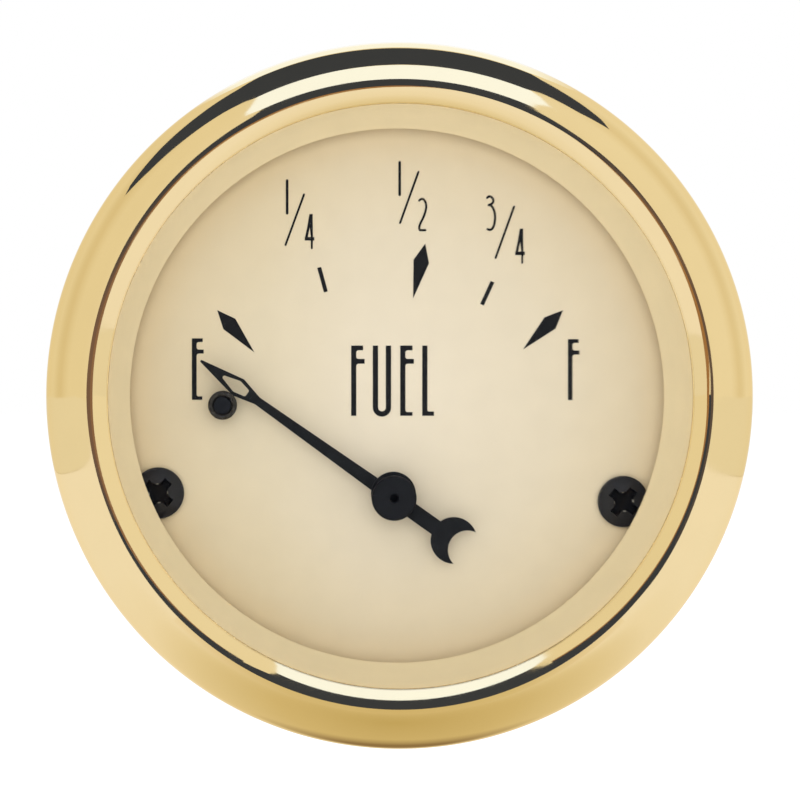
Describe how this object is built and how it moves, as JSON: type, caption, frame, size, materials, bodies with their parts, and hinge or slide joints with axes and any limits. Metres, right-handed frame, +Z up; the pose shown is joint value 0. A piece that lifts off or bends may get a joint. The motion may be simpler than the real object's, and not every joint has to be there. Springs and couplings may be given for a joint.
{
  "type": "fuel gauge",
  "caption": "Round panel fuel gauge with a domed bezel, cream dial, pierced pointer with crescent tail, moving-magnet movement, rear studs and a U clamp.",
  "frame": {"origin": "on the can's axis, in the panel plane where the bezel's rear hem sits", "axes": "+Z up on the dial, +X to the right as the dial is read, +Y back into the panel along the can's axis; the dial faces -Y"},
  "size_m": [0.0664, 0.0675, 0.0664],
  "materials": {
    "gold_plate": "polished gold plate, with a soft sheen",
    "zinc_steel": "zinc-plated sheet steel and studs, satin",
    "clear_glass": "clear flat glass, polished",
    "black_rubber": "moulded rubber, matte",
    "cream_paint": "cream paint, matte",
    "dial_paint": "cream dial paint, matte with a faint grain",
    "black_ink": "screen-printed black ink, matte",
    "black_steel": "blackened steel, satin",
    "pointer_paint": "black paint on thin aluminium, matte",
    "black_plastic": "moulded black plastic, satin",
    "bobbin_plastic": "moulded grey plastic",
    "copper_wire": "enamelled copper winding wire",
    "brass": "turned brass, satin",
    "magnet": "sintered magnet, dark grey",
    "board_resin": "glass-epoxy board with green lacquer",
    "brown_fibre": "brown insulating fibre",
    "resistor_body": "lacquered resistor body",
    "bulb_glass": "clear bulb glass"
  },
  "bodies": {
    "gauge": {"bezel": "gold_plate", "can": "zinc_steel", "glass": "clear_glass", "glass_gasket": "black_rubber", "spacer_ring": "cream_paint", "dial": "dial_paint", "dial_marks": "black_ink", "dial_screws": "black_steel", "stop_post": "black_steel", "stop_sleeve": "black_rubber", "movement_plate": "brass", "tie_screws": "zinc_steel", "upper_bobbin": "bobbin_plastic", "lower_bobbin": "bobbin_plastic", "inner_coil": "copper_wire", "outer_coil": "copper_wire", "upper_bearing": "brass", "lower_bearing": "brass", "shield": "zinc_steel", "circuit_board": "board_resin", "coil_leads": "brass", "resistor": "resistor_body", "terminal_studs": "brass", "terminal_spacers": "brown_fibre", "terminal_insulators": "brown_fibre", "terminal_washers": "zinc_steel", "terminal_nuts": "brass", "mounting_studs": "zinc_steel", "mounting_stud_nuts": "zinc_steel"},
    "rotor": {"magnet_rotor": "magnet", "spindle": "zinc_steel", "pointer": "pointer_paint", "pointer_hub": "black_plastic"},
    "clamp": {"clamp_bracket": "zinc_steel", "spring_washers": "black_steel"},
    "left_nut": {"left_thumb_nut": "brass"},
    "right_nut": {"right_thumb_nut": "brass"},
    "lamp": {"lamp_holder": "black_plastic", "lamp_contacts": "brass"},
    "bulb": {"lamp_bulb": "bulb_glass"}
  },
  "joints": [
    {"name": "pointer_turn", "type": "hinge", "parent": "gauge", "child": "rotor", "pos_m": [-0.00056, -0.003, -0.0096], "axis": [0, 1, 0], "range_deg": [0, 100]},
    {"name": "clamp_slide", "type": "slide", "parent": "gauge", "child": "clamp", "axis": [0, 1, 0], "range_m": [-0.0038, 0.005]},
    {"name": "left_nut_turn", "type": "hinge", "parent": "clamp", "child": "left_nut", "pos_m": [-0.0175, 0.05, 0], "axis": [0, 1, 0], "range_deg": [-1730, 2270]},
    {"name": "right_nut_turn", "type": "hinge", "parent": "clamp", "child": "right_nut", "pos_m": [0.0175, 0.05, 0], "axis": [0, 1, 0], "range_deg": [-1730, 2270]},
    {"name": "lamp_pull", "type": "slide", "parent": "gauge", "child": "lamp", "axis": [0, 1, 0], "range_m": [0, 0.02]},
    {"name": "bulb_pull", "type": "slide", "parent": "lamp", "child": "bulb", "axis": [0, -1, 0], "range_m": [0, 0.011]}
  ],
  "couplings": [
    {"joint": "left_nut_turn", "follows": "clamp_slide", "rad_per_m": 7915.8},
    {"joint": "right_nut_turn", "follows": "clamp_slide", "rad_per_m": 7915.8}
  ]
}
